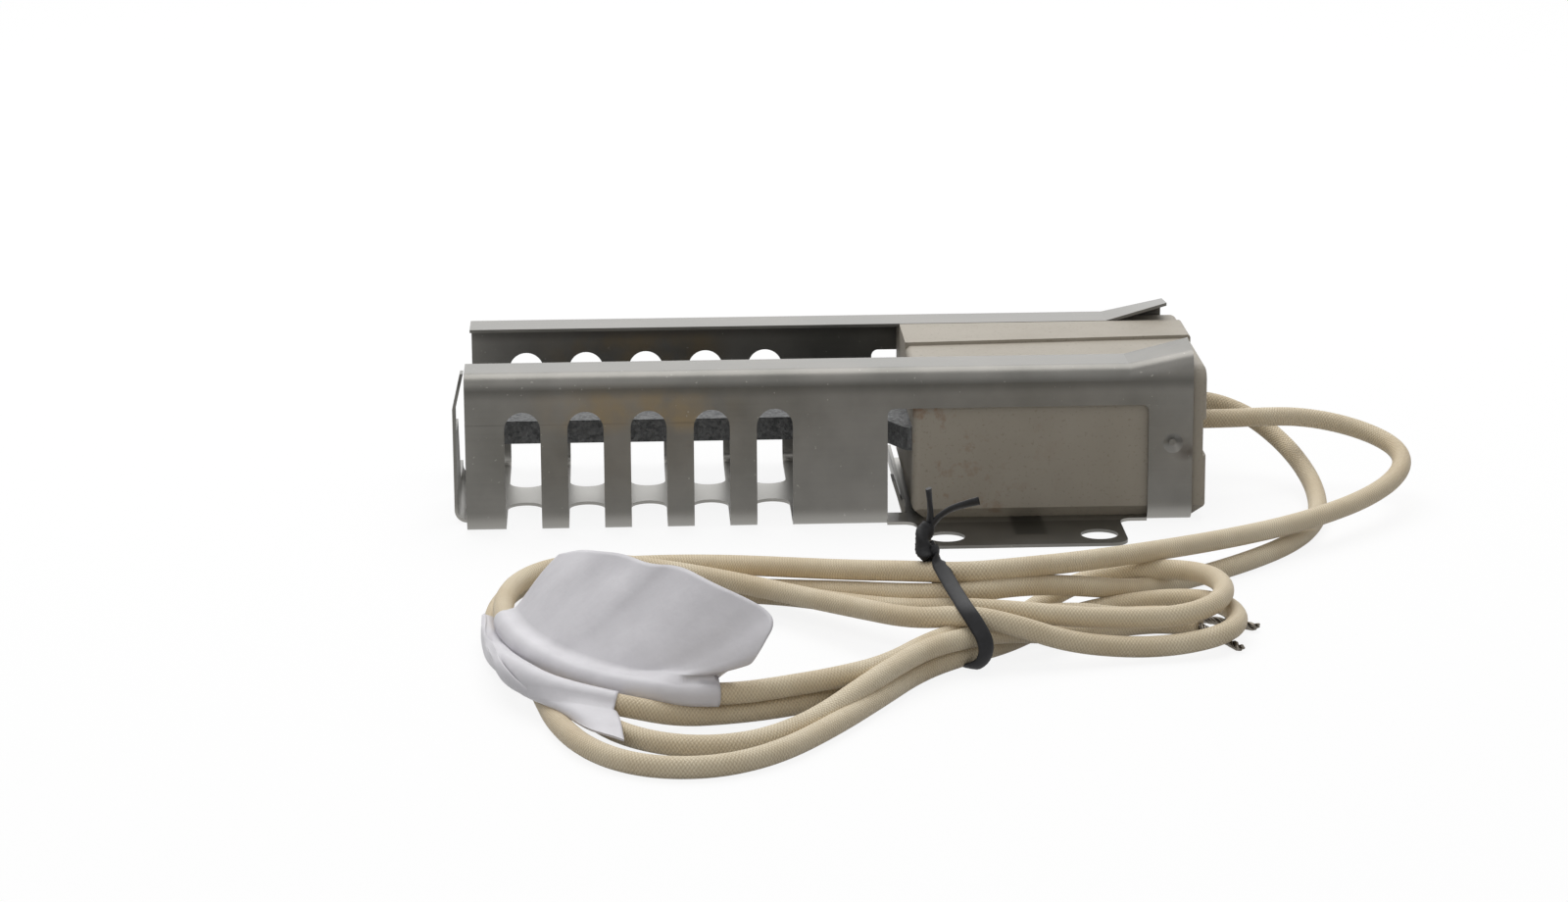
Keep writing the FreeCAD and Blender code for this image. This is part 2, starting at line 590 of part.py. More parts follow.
LEAD_ROUTES = {
    "lead_rear": [(38.6, 44.2, 15.8), (48.4, 43.6, 12.4), (55.0, 37.4, 7.6), (58.0, 27.0, 4.0),
                  (57.8, 14.5, 2.1), (55.0, 1.0, 1.8), (49.0, -12.0, 1.8), (39.4, -23.6, 1.8),
                  (27.1, -34.6, 1.8), (15.5, -44.6, 2.6)],
    "lead_front": [(41.0, 26.2, 15.8), (49.4, 29.0, 15.4), (57.0, 34.2, 14.0), (64.7, 35.0, 12.4),
                   (71.0, 32.0, 10.8), (74.7, 26.3, 9.4), (74.8, 19.5, 8.0), (71.2, 11.4, 6.8),
                   (64.8, 2.6, 6.0), (56.8, -6.6, 5.6), (47.0, -16.6, 5.6), (34.0, -28.2, 6.6),
                   (19.0, -42.0, 8.6), (5.0, -53.2, 10.6), (-6.5, -62.0, 12.6), (-17.0, -67.6, 13.0)],
}


def lead_tube(label, route, centre):
    """A round lead along straight runs joined by arcs, each as large as its runs allow."""
    start = Vector(value(f"{LEAD_START} - {WINDOW_CENTRE}"), value(f"{centre} + {HOLE_REACH}"), value("level"))
    points = [start] + [Vector(*point) for point in route]
    points[1] = Vector(points[1].x, start.y, start.z)
    edges, here, radii = [], points[0], []
    for before, corner, after in zip(points, points[1:], points[2:]):
        run = min((corner - before).Length, (after - corner).Length)
        turn = math.pi - (before - corner).getAngle(after - corner)
        reach = 0.45 * run
        radii.append(reach / math.tan(turn / 2))
        back, ahead = (before - corner).normalize(), (after - corner).normalize()
        first, last = corner + back * reach, corner + ahead * reach
        bisector = (back + ahead).normalize()
        middle = corner + bisector * (radii[-1] / math.cos(turn / 2) - radii[-1])
        edges.append(Part.LineSegment(here, first).toShape())
        edges.append(Part.Arc(first, middle, last).toShape())
        here = last
    edges.append(Part.LineSegment(here, points[-1]).toShape())
    path = Part.Wire(edges)
    section = Part.Wire(Part.makeCircle(value("lead_diameter") / 2, points[0], points[1] - points[0]))
    tube = path.makePipeShell([section], True, False)
    wanted = math.pi * value("lead_diameter") ** 2 / 4 * path.Length
    print(label, "radii", [round(radius, 1) for radius in radii], "length", round(path.Length, 1),
          "volume share", round(tube.Volume / wanted, 4))
    return tube


HANK_OUTER = [(-14, -59), (-25, -56), (-36, -46), (-47, -36), (-58, -26), (-70, -19.5), (-82, -18.8), (-93, -27),
              (-98.4, -41), (-99, -60), (-97.4, -80), (-93, -100), (-85.5, -117), (-77, -130), (-66, -136.8),
              (-54, -134), (-41, -122), (-30, -108), (-20, -94), (-12, -84), (0, -80.6), (11, -79.8),
              (22, -77), (31, -69), (34.2, -58), (31, -47), (24, -41), (15, -39), (4, -43), (-6, -51)]
HANK_LEFT_EYE = [(-33, -72), (-43, -60), (-53, -49.5), (-64, -40), (-74, -39), (-81, -46), (-83.2, -60),
                 (-82.8, -78), (-79, -96), (-70, -105), (-60, -107), (-49, -103), (-40, -95.5), (-33, -85)]
HANK_RIGHT_EYE = [(8, -66), (14, -62.5), (21, -62.8), (25.6, -64.8), (21, -69), (14, -70)]
TIE_PLACE = -17.0
WAIST_CENTRE = -74.5


def smooth_face(points, height):
    """A flat face inside a closed smooth curve through the points."""
    curve = Part.BSplineCurve()
    curve.interpolate([Vector(x, y, height) for x, y in points], PeriodicFlag=True)
    return Part.Face(Part.Wire(curve.toShape()))


def waist_box(grow, low, high, left, right):
    """The bundle at the tie, as a bar with rounded long edges."""
    centre, half = WAIST_CENTRE, value("waist_width") / 2 + grow
    bar = Part.makeBox(right - left, 2 * half, high - low, Vector(left, centre - half, low))
    return bar.makeFillet(4.0 + grow, [edge for edge in bar.Edges if runs_along(edge, Vector(1, 0, 0))])


def lead_hank():
    thickness = value("tie_thickness")
    turns = smooth_face(HANK_OUTER, 0).extrude(Vector(0, 0, value("hank_height")))
    for eye in (HANK_LEFT_EYE, HANK_RIGHT_EYE):
        turns = turns.cut(smooth_face(eye, -1).extrude(Vector(0, 0, value("hank_height") + 2)))
    room = Part.makeBox(value("tie_width") + 0.4, 60, 40,
                        Vector(TIE_PLACE - value("tie_width") / 2 - 0.2, -105, -20))
    waist = waist_box(0, thickness, value("waist_height"), TIE_PLACE - 10, TIE_PLACE + 10)
    return turns.cut(room).fuse(waist).removeSplitter()


def twist_tie(hank):
    """The strap round the waist, its twisted stem and its two tails."""
    thickness, width = value("tie_thickness"), value("tie_width")
    left, right = TIE_PLACE - width / 2, TIE_PLACE + width / 2
    strap = waist_box(thickness, 0, value("waist_height") + thickness, left, right)
    strap = strap.cut(waist_box(0, thickness, value("waist_height"), left - 1, right + 1))
    top = Vector(TIE_PLACE, -66, value("waist_height") + thickness / 2)
    knot = Vector(-22.5, -58, 21.0)
    stem = Part.makeCylinder(width / 2, (knot - top).Length, top, knot - top)
    for tip in (Vector(-24, -57, 26.5), Vector(-13.5, -56, 24.5)):
        tail = Part.makeCylinder(thickness, (tip - knot).Length, knot, tip - knot)
        stem = stem.fuse(tail)
    return strap.fuse(stem).cut(hank)


def bare_end(hank, start, tip):
    wire = Part.makeCylinder(value("bare_diameter") / 2, (tip - start).Length, start, tip - start)
    return wire.cut(hank)


def label_flag():
    """Folded film that stands on the upper turn and leans back to the right."""
    foot = [Vector(-94.2, -73.0, 7.6), Vector(-84.8, -94.5, 7.6), Vector(-60.5, -110.2, 7.6)]
    lean = Vector(0.45, 0.45, 0.77) * value("label_height")
    film = Part.makeRuledSurface(Part.Arc(*foot).toShape(), Part.Arc(*[point + lean for point in foot]).toShape())
    return film.extrude(Vector(0.7, 0.7, 0).normalize() * value("label_thickness"))


def label_sleeve(hank):
    """Film wrapped round the outermost turn at the hank's left end."""
    spine = Part.Arc(Vector(-97.2, -62, 3.4), Vector(-96.3, -84, 3.4), Vector(-90, -106, 3.4)).toShape()
    ring = Part.Wire(Part.makeCircle(value("label_radius"), spine.Vertexes[0].Point, spine.Curve.tangent(
        spine.FirstParameter)[0]))
    return Part.Wire(spine).makePipeShell([ring], True, False).cut(hank)


def add_shape(label, shape):
    """A piece whose shape is worked out above, in the igniter's own frame."""
    item = doc.addObject("Part::Feature", label)
    item.Label = label
    item.Shape = shape
    pieces.append(item)


hank_shape = lead_hank()
add_shape("lead_hank", hank_shape)
for side, centre in (("rear", REAR), ("front", FRONT)):
    name = "lead_" + side
    add_shape(name, lead_tube(name, LEAD_ROUTES[name], centre).cut(hank_shape))
add_shape("lead_end_rear", bare_end(hank_shape, Vector(24.0, -51.5, 1.2), Vector(35.2, -67.4, 0.9)))
add_shape("lead_end_front", bare_end(hank_shape, Vector(26.2, -70.7, 1.1), Vector(30.3, -79.8, 0.9)))
add_shape("twist_tie", twist_tie(hank_shape))
add_shape("label_flag", label_flag())
add_shape("label_sleeve", label_sleeve(hank_shape))


# Every object has to be sound before any file is written.

doc.recompute()
for item in doc.Objects:
    if "Invalid" in item.State or "Error" in item.State:
        raise RuntimeError(f"{item.Label} failed: {item.State}")
for piece in pieces:
    if piece.Shape.isNull() or not piece.Shape.isValid():
        raise RuntimeError(f"{piece.Label} has no sound shape")

os.makedirs("parts", exist_ok=True)
for piece in pieces:
    box = piece.Shape.BoundBox
    print(f"{piece.Label}: {len(piece.Shape.Solids)} solid, {piece.Shape.Volume:.0f} mm3, "
          f"x {box.XMin:.1f}..{box.XMax:.1f} y {box.YMin:.1f}..{box.YMax:.1f} z {box.ZMin:.1f}..{box.ZMax:.1f}")
    piece.Shape.exportStep(os.path.join("parts", piece.Label + ".step"))
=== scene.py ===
"""Looks of the hot surface igniter: camera, light, the two braided leads in their tied hank, the labels,
the twist tie, the bare wire ends and every finish. Lengths are written in millimetres, and mm() turns
them into metres."""
import math

import bpy
import numpy as np
from mathutils import Matrix


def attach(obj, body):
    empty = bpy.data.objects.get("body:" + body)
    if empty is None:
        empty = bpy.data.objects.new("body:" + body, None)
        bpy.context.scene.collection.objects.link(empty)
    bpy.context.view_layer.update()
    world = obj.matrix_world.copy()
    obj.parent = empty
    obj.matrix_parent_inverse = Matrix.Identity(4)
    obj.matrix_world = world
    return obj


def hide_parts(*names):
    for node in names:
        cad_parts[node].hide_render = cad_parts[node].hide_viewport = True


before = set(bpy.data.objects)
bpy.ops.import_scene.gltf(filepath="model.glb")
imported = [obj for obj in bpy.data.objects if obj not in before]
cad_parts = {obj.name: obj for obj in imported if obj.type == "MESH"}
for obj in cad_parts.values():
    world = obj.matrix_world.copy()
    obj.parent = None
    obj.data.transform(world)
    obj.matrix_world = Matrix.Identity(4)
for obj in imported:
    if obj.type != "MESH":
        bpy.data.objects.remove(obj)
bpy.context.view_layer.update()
TURN = 2 * math.pi


def mm(value):
    """Millimetres as metres, for one number or a whole array."""
    return np.asarray(value, float) * 0.001


def unit(vectors):
    """Vectors at length 1, one to a row."""
    return vectors / np.linalg.norm(vectors, axis=-1, keepdims=True)


# Meshes.


def grid_mesh(name, points, around=True, along=None):
    """A mesh from a grid of points[i, j], metres. around joins the last column to the first and closes the
    two ends, as on a tube. along is each row's distance from the start, and with it the mesh gets a UV map:
    that distance, and the share of one turn."""
    rows, columns = points.shape[:2]
    across = columns if around else columns - 1
    i, j = np.meshgrid(np.arange(rows - 1), np.arange(across), indexing="ij")
    k = (j + 1) % columns
    quads = np.stack([i * columns + j, i * columns + k, (i + 1) * columns + k, (i + 1) * columns + j], -1)
    quads = quads.reshape(-1, 4)
    ends = [np.arange(columns)[::-1], (rows - 1) * columns + np.arange(columns)] if around else []
    loops = np.concatenate([quads.ravel()] + ends)
    sizes = np.concatenate([np.full(len(quads), 4), np.full(len(ends), columns)])
    mesh = bpy.data.meshes.new(name)
    mesh.vertices.add(rows * columns)
    mesh.vertices.foreach_set("co", points.reshape(-1))
    mesh.loops.add(len(loops))
    mesh.loops.foreach_set("vertex_index", loops)
    mesh.polygons.add(len(sizes))
    mesh.polygons.foreach_set("loop_start", np.cumsum(sizes) - sizes)
    mesh.polygons.foreach_set("use_smooth", np.arange(len(sizes)) < len(quads))
    if along is not None:
        turns = np.stack([j, j + 1, j + 1, j], -1).reshape(-1) / columns
        on_ends = np.zeros(len(loops) - len(turns))
        surface = np.column_stack([np.repeat(along, columns)[loops], np.concatenate([turns, on_ends])])
        mesh.uv_layers.new(name="surface").data.foreach_set("uv", surface.ravel())
    mesh.update(calc_edges=True)
    mesh.validate()
    made = bpy.data.objects.new(name, mesh)
    bpy.context.scene.collection.objects.link(made)
    return made


def run_of(line):
    """The distance along a line at each of its points."""
    return np.concatenate([[0], np.cumsum(np.linalg.norm(np.diff(line, axis=0), axis=1))])


def spaced(line, count):
    """A line as a number of points at equal distances along it."""
    run = run_of(line)
    at = np.linspace(0, run[-1], count)
    return np.column_stack([np.interp(at, run, line[:, k]) for k in range(3)])


def spline_line(points, step):
    """The smooth line a cord lies in: a NURBS spline of order 3 with the route's points as its control
    points, read back as points about a step apart. All in metres."""
    curve = bpy.data.curves.new("route", "CURVE")
    curve.dimensions = "3D"
    curve.resolution_u = 32
    spline = curve.splines.new("NURBS")
    spline.points.add(len(points) - 1)
    spline.points.foreach_set("co", np.column_stack([points, np.ones(len(points))]).ravel())
    spline.order_u = 3
    spline.use_endpoint_u = True
    holder = bpy.data.objects.new("route", curve)
    mesh = bpy.data.meshes.new_from_object(holder)
    line = np.empty(len(mesh.vertices) * 3)
    mesh.vertices.foreach_get("co", line)
    line = line.reshape(-1, 3)
    bpy.data.meshes.remove(mesh)
    bpy.data.curves.remove(curve)
    return spaced(line, int(run_of(line)[-1] / step) + 2)


def heading(line):
    """The unit direction of a line at each point."""
    return unit(np.gradient(line, axis=0))


def part_along(vectors, along):
    """The part of each vector that lies along a unit direction."""
    return (vectors * along).sum(1, keepdims=True) * along


def sides_of(line):
    """Two unit directions square to a line at each point: to its left, and up from it."""
    along = heading(line)
    left = unit(np.cross((0.0, 0.0, 1.0), along))
    return left, np.cross(along, left)


def ring(first, second, sides):
    """Closed ovals about the origin: first(s) cos a + second(s) sin a, with a turning once round."""
    a = np.linspace(0, TURN, sides, endpoint=False)[None, :, None]
    return first[:, None] * np.cos(a) + second[:, None] * np.sin(a)


def tube(line, radius, sides):
    """Points of a round tube: line(s) + r ring(left(s), up(s))."""
    return line[:, None] + radius * ring(*sides_of(line), sides)


# Materials.


def linear(code):
    """A linear colour from an sRGB hex value."""
    c = np.array([int(code[k:k + 2], 16) for k in (1, 3, 5)]) / 255
    c = np.where(c <= 0.04045, c / 12.92, ((c + 0.055) / 1.055) ** 2.4)
    return (*c.tolist(), 1.0)


def add(tree, kind, sockets=(), **settings):
    """Adds one node: settings are its own properties, and sockets its inputs, as values or as links."""
    made = tree.nodes.new("ShaderNode" + kind)
    for name, value in settings.items():
        setattr(made, name, value)
    for name, value in dict(sockets).items():
        if isinstance(value, bpy.types.NodeSocket):
            tree.links.new(value, made.inputs[name])
        else:
            made.inputs[name].default_value = value
    return made


def empty_material(name):
    """A material whose tree holds only its output."""
    material = bpy.data.materials.new(name)
    material.use_nodes = True
    material.node_tree.nodes.clear()
    return material, material.node_tree, material.node_tree.nodes.new("ShaderNodeOutputMaterial")


def between(tree, value, low, high, soft):
    """1 where a coordinate lies from low to high, and 0 outside, with soft edges: a rise times a fall. The
    three limits are in millimetres."""
    low, high, soft = mm((low, high, soft)).tolist()
    rise = add(tree, "MapRange", {"Value": value, "From Min": low - soft, "From Max": low + soft},
               interpolation_type="SMOOTHSTEP").outputs[0]
    fall = add(tree, "MapRange", {"Value": value, "From Min": high + soft, "From Max": high - soft},
               interpolation_type="SMOOTHSTEP").outputs[0]
    return add(tree, "Math", {0: rise, 1: fall}, operation="MULTIPLY").outputs[0]


def marked(tree, base, shares, most, code):
    """A base colour with a mark over it: its share is the product of the given ones, times most."""
    share = most
    for other in shares:
        share = add(tree, "Math", {0: share, 1: other}, operation="MULTIPLY").outputs[0]
    return add(tree, "Mix", {0: share, 6: base, 7: linear(code)}, data_type="RGBA").outputs[2]


DIMPLE_SHADE_PLACE = (31.4, 10.2, 14.6)  # centre of the crimp dimple's painted shade, on the front wall


def stainless_sheet():
    """Cold-rolled stainless sheet, dulled in store and in the oven: a satin grey metal with a faint rolling
    grain along the shield and a cloudy film. Painted shade darkens it under the top bends and a painted
    highlight brightens it along the bottom ones, and the flame left a straw tint above the middle slots."""
    material, tree, out = empty_material("stainless_sheet")
    place = add(tree, "TexCoord").outputs["Object"]
    x, y, z = add(tree, "SeparateXYZ", {0: place}).outputs
    # Rolling lines 0.5 mm apart and some 20 mm long, coarser than the real ones so that they show.
    lines = add(tree, "Mapping", {"Vector": place, "Scale": (50, 2000, 2000)}).outputs[0]
    grain = add(tree, "TexNoise", {"Vector": lines, "Scale": 1.0, "Detail": 3}).outputs["Fac"]
    # Handling film in clouds about 15 mm wide, tint in patches of 8 mm, dust and nicks under 1 mm.
    cloud = add(tree, "TexNoise", {"Vector": place, "Scale": 65, "Detail": 5,
                                   "Roughness": 0.55}).outputs["Fac"]
    patch = add(tree, "TexNoise", {"Vector": place, "Scale": 120, "Detail": 3}).outputs["Fac"]
    speck = add(tree, "TexNoise", {"Vector": place, "Scale": 1300, "Detail": 1}).outputs["Fac"]
    filmed = add(tree, "MapRange", {"Value": cloud, "From Min": 0.32, "From Max": 0.7}).outputs[0]
    tinted = add(tree, "MapRange", {"Value": patch, "From Min": 0.38, "From Max": 0.62}).outputs[0]
    dust = add(tree, "MapRange", {"Value": speck, "From Min": 0.75, "From Max": 0.8}).outputs[0]
    steel = add(tree, "Mix", {0: filmed, 6: linear("#666561"), 7: linear("#787672")},
                data_type="RGBA").outputs[2]
    steel = marked(tree, steel, [grain], 0.12, "#8a8883")
    # The flame's straw tint.
    middle_slots = [between(tree, x, -87, -56, 6), between(tree, z, 19.5, 27, 1.8)]
    steel = marked(tree, steel, middle_slots + [tinted], 0.75, "#85765c")
    # Painted shade under the top bends, and a painted highlight along the bottom ones.
    steel = marked(tree, steel, [between(tree, z, 26.2, 28.2, 1.2)], 0.6, "#454441")
    bottom_bend_highlight = [between(tree, z, -1, 2.4, 1.6), between(tree, y, 9.8, 60.4, 0.3)]
    steel = marked(tree, steel, bottom_bend_highlight, 0.7, "#a3a19c")
    # A faint broken line across the slots' arches.
    arches = [between(tree, z, 20.6, 20.8, 0.2), between(tree, x, -110, -52, 4)]
    steel = marked(tree, steel, arches + [tinted], 0.45, "#4a4845")
    # A dark patch on the tab, 6 mm wide.
    dark_tab_patch = [between(tree, x, -1.3, 4.7, 0.6), between(tree, y, 0.6, 20, 0.7),
                 between(tree, z, -1, 1, 0.5)]
    steel = marked(tree, steel, dark_tab_patch, 0.75, "#2b2a28")
    # Painted shade of the crimp dimple's crater, 5 mm across.
    reach = add(tree, "VectorMath", {0: place, 1: mm(DIMPLE_SHADE_PLACE).tolist()},
                operation="DISTANCE").outputs["Value"]
    dimple_shade = add(tree, "MapRange", {"Value": reach, "From Min": 0.003, "From Max": 0.001}).outputs[0]
    steel = marked(tree, steel, [dimple_shade, tinted], 0.9, "#33271f")
    steel = marked(tree, steel, [dust], 0.3, "#b5b2ac")
    rough = add(tree, "MapRange", {"Value": cloud, "To Min": 0.3, "To Max": 0.46}).outputs[0]
    bump = add(tree, "Bump", {"Height": grain, "Strength": 0.04, "Distance": 0.0001}).outputs[0]
    shader = add(tree, "BsdfPrincipled", {"Base Color": steel, "Metallic": 1.0, "Roughness": rough,
                                          "Normal": bump})
    tree.links.new(shader.outputs[0], out.inputs[0])
    return material


def steatite():
    """Steatite ceramic, pressed and fired: matt grey-beige with fine dark grains and, on its front face
    near the flame, a few rusty stains."""
    material, tree, out = empty_material("steatite")
    place = add(tree, "TexCoord").outputs["Object"]
    x, y, _ = add(tree, "SeparateXYZ", {0: place}).outputs
    # Clouds 12 mm wide, pressing grains 0.6 mm, stains 4 mm with ragged edges.
    cloud = add(tree, "TexNoise", {"Vector": place, "Scale": 80, "Detail": 4}).outputs["Fac"]
    grains = add(tree, "TexNoise", {"Vector": place, "Scale": 1600, "Detail": 2}).outputs["Fac"]
    patches = add(tree, "TexNoise", {"Vector": place, "Scale": 230, "Detail": 5,
                                     "Roughness": 0.65}).outputs["Fac"]
    dots = add(tree, "MapRange", {"Value": grains, "From Min": 0.6, "From Max": 0.72}).outputs[0]
    stained = add(tree, "MapRange", {"Value": patches, "From Min": 0.53, "From Max": 0.7}).outputs[0]
    near_flame = add(tree, "MapRange", {"Value": x, "From Min": 0.01, "From Max": -0.016}).outputs[0]
    front_face = between(tree, y, 0, 12.5, 0.3)
    body = add(tree, "Mix", {0: cloud, 6: linear("#958d7f"), 7: linear("#aaa397")},
               data_type="RGBA").outputs[2]
    body = marked(tree, body, [dots], 0.35, "#6f6858")
    body = marked(tree, body, [stained, near_flame, front_face], 0.75, "#7f5c40")
    bump = add(tree, "Bump", {"Height": grains, "Strength": 0.15, "Distance": 0.0001}).outputs[0]
    shader = add(tree, "BsdfPrincipled", {"Base Color": body, "Roughness": 0.6, "IOR": 1.5, "Normal": bump})
    tree.links.new(shader.outputs[0], out.inputs[0])
    return material


def silicon_carbide():
    """Recrystallised silicon carbide: near black, coarse and sparkling with fine crystal faces."""
    material, tree, out = empty_material("silicon_carbide")
    place = add(tree, "TexCoord").outputs["Object"]
    # Grit and crystal faces 0.6 mm across.
    grit = add(tree, "TexNoise", {"Vector": place, "Scale": 1800, "Detail": 2}).outputs["Fac"]
    crystal = add(tree, "TexVoronoi", {"Vector": place, "Scale": 1500}).outputs["Color"]
    tone = add(tree, "MapRange", {"Value": grit, "From Min": 0.42, "From Max": 0.72}).outputs[0]
    colour = add(tree, "Mix", {0: tone, 6: linear("#1d1f20"), 7: linear("#414445")},
                 data_type="RGBA").outputs[2]
    rough = add(tree, "MapRange", {"Value": crystal, "To Min": 0.4, "To Max": 0.9}).outputs[0]
    bump = add(tree, "Bump", {"Height": grit, "Strength": 0.6, "Distance": 0.0003}).outputs[0]
    shader = add(tree, "BsdfPrincipled", {"Base Color": colour, "Roughness": rough, "IOR": 2.0,
                                          "Normal": bump})
    tree.links.new(shader.outputs[0], out.inputs[0])
    return material


def refractory_cement():
    """Refractory cement, poured and cured: pale, chalky and pitted."""
    material, tree, out = empty_material("refractory_cement")
    place = add(tree, "TexCoord").outputs["Object"]
    # Pits and lumps some 3 mm across, with finer ones in them.
    pitted = add(tree, "TexNoise", {"Vector": place, "Scale": 300, "Detail": 6,
                                    "Roughness": 0.7}).outputs["Fac"]
    colour = add(tree, "Mix", {0: pitted, 6: linear("#a39c8e"), 7: linear("#d2ccbf")},
                 data_type="RGBA").outputs[2]
    bump = add(tree, "Bump", {"Height": pitted, "Strength": 0.7, "Distance": 0.0004}).outputs[0]
    shader = add(tree, "BsdfPrincipled", {"Base Color": colour, "Roughness": 0.85, "Normal": bump})
    tree.links.new(shader.outputs[0], out.inputs[0])
    return material


def plated_copper(name, dull, bright):
    """Nickel-plated copper: grey metal, more or less tarnished, as on stranded wire and pressed clips."""
    material, tree, out = empty_material(name)
    place = add(tree, "TexCoord").outputs["Object"]
    # Tarnish in spots about 1.4 mm wide.
    tarnish = add(tree, "TexNoise", {"Vector": place, "Scale": 700, "Detail": 3}).outputs["Fac"]
    colour = add(tree, "Mix", {0: tarnish, 6: linear(dull), 7: linear(bright)}, data_type="RGBA").outputs[2]
    rough = add(tree, "MapRange", {"Value": tarnish, "To Min": 0.25, "To Max": 0.45}).outputs[0]
    shader = add(tree, "BsdfPrincipled", {"Base Color": colour, "Metallic": 1.0, "Roughness": rough})
    tree.links.new(shader.outputs[0], out.inputs[0])
    return material


BRAID_STRANDS = 12  # strands that run each way round a lead
BRAID_PITCH = 7.4  # millimetres along the lead for one strand's full turn, so a crossing every 0.6 mm


def glass_braid():
    """Varnished glass-fibre braid: tan, browner between the strands, partly from varnish pooled there and
    partly as painted shade, with a silky sheen. Its two families of strands have the angles a and b,
    (around +- along / pitch) * strands * pi. The height is the larger of |sin a| w and |sin b| (1 - w), and
    w = (1 + sin a sin b) / 2 says which strand is on top."""
    material, tree, out = empty_material("glass_braid")
    place = add(tree, "TexCoord").outputs["Object"]
    surface = add(tree, "UVMap", uv_map="surface").outputs[0]
    along, around, _ = add(tree, "SeparateXYZ", {0: surface}).outputs
    turn = add(tree, "Math", {0: around, 1: math.pi * BRAID_STRANDS}, operation="MULTIPLY").outputs[0]
    pace = math.pi * BRAID_STRANDS / float(mm(BRAID_PITCH))
    waves = []
    for lean in (pace, -pace):
        angle = add(tree, "Math", {0: along, 1: lean, 2: turn}, operation="MULTIPLY_ADD").outputs[0]
        waves.append(add(tree, "Math", {0: angle}, operation="SINE").outputs[0])
    both = add(tree, "Math", {0: waves[0], 1: waves[1]}, operation="MULTIPLY").outputs[0]
    over = add(tree, "Math", {0: both, 1: 0.5, 2: 0.5}, operation="MULTIPLY_ADD").outputs[0]
    under = add(tree, "Math", {0: 1.0, 1: over}, operation="SUBTRACT").outputs[0]
    strands = []
    for wave, share in zip(waves, (over, under)):
        crown = add(tree, "Math", {0: wave}, operation="ABSOLUTE").outputs[0]
        strands.append(add(tree, "Math", {0: crown, 1: share}, operation="MULTIPLY").outputs[0])
    height = add(tree, "Math", {0: strands[0], 1: strands[1]}, operation="MAXIMUM").outputs[0]
    # Varnish tones some 15 mm long, and fuzz of loose fibres 0.4 mm across.
    cloud = add(tree, "TexNoise", {"Vector": place, "Scale": 65, "Detail": 4}).outputs["Fac"]
    fuzz = add(tree, "TexNoise", {"Vector": place, "Scale": 2500, "Detail": 2}).outputs["Fac"]
    tone = add(tree, "MapRange", {"Value": cloud, "From Min": 0.35, "From Max": 0.68}).outputs[0]
    # Browner in the grooves between the strands: partly pooled varnish, partly painted shade.
    groove_varnish_and_shade = add(tree, "MapRange", {"Value": height, "From Min": 0.75, "From Max": 0.15}).outputs[0]
    tan = add(tree, "Mix", {0: tone, 6: linear("#d6c4a3"), 7: linear("#ebdec2")},
              data_type="RGBA").outputs[2]
    tan = marked(tree, tan, [groove_varnish_and_shade], 0.6, "#a1875e")
    tan = marked(tree, tan, [fuzz], 0.2, "#f0e8d6")
    bump = add(tree, "Bump", {"Height": height, "Strength": 0.7, "Distance": 0.00015}).outputs[0]
    shader = add(tree, "BsdfPrincipled", {"Base Color": tan, "Roughness": 0.62, "Sheen Weight": 0.15,
                                          "Sheen Roughness": 0.4, "Normal": bump})
    tree.links.new(shader.outputs[0], out.inputs[0])
    return material


def black_polythene():
    """Polythene strip over a wire, as on a twist tie: black, waxy and a little scuffed."""
    material, tree, out = empty_material("black_polythene")
    place = add(tree, "TexCoord").outputs["Object"]
    # Scuffs about 2 mm long.
    scuff = add(tree, "TexNoise", {"Vector": place, "Scale": 500, "Detail": 4}).outputs["Fac"]
    tone = add(tree, "MapRange", {"Value": scuff, "From Min": 0.5, "From Max": 0.75}).outputs[0]
    colour = add(tree, "Mix", {0: tone, 6: linear("#151517"), 7: linear("#262629")},
                 data_type="RGBA").outputs[2]
    bump = add(tree, "Bump", {"Height": scuff, "Strength": 0.2, "Distance": 0.0002}).outputs[0]
    shader = add(tree, "BsdfPrincipled", {"Base Color": colour, "Roughness": 0.55, "Specular IOR Level": 0.3,
                                          "Normal": bump})
    tree.links.new(shader.outputs[0], out.inputs[0])
    return material


def label_film():
    """Printable polyester film: white with a cool cast, satin and a little crumpled."""
    material, tree, out = empty_material("label_film")
    place = add(tree, "TexCoord").outputs["Object"]
    # Small dents about 6 mm wide.
    crumple = add(tree, "TexNoise", {"Vector": place, "Scale": 180, "Detail": 4}).outputs["Fac"]
    colour = add(tree, "Mix", {0: crumple, 6: linear("#c9c7cb"), 7: linear("#dfdde1")},
                 data_type="RGBA").outputs[2]
    bump = add(tree, "Bump", {"Height": crumple, "Strength": 0.35, "Distance": 0.0006}).outputs[0]
    shader = add(tree, "BsdfPrincipled", {"Base Color": colour, "Roughness": 0.45, "Normal": bump})
    tree.links.new(shader.outputs[0], out.inputs[0])
    return material


STEEL = stainless_sheet()
CERAMIC = steatite()
CARBIDE = silicon_carbide()
CEMENT = refractory_cement()
CLIP_METAL = plated_copper("plated_clip", "#8f8978", "#c9c4bb")
STRAND_METAL = plated_copper("plated_strands", "#4f4a45", "#8b8479")
BRAID = glass_braid()
TIE_PLASTIC = black_polythene()
FILM = label_film()

# The two leads.

LEAD_THICK = 3.6
LEAD_SIDES = 24
FINE_STEP = 0.0006  # metres between the points of a smooth line

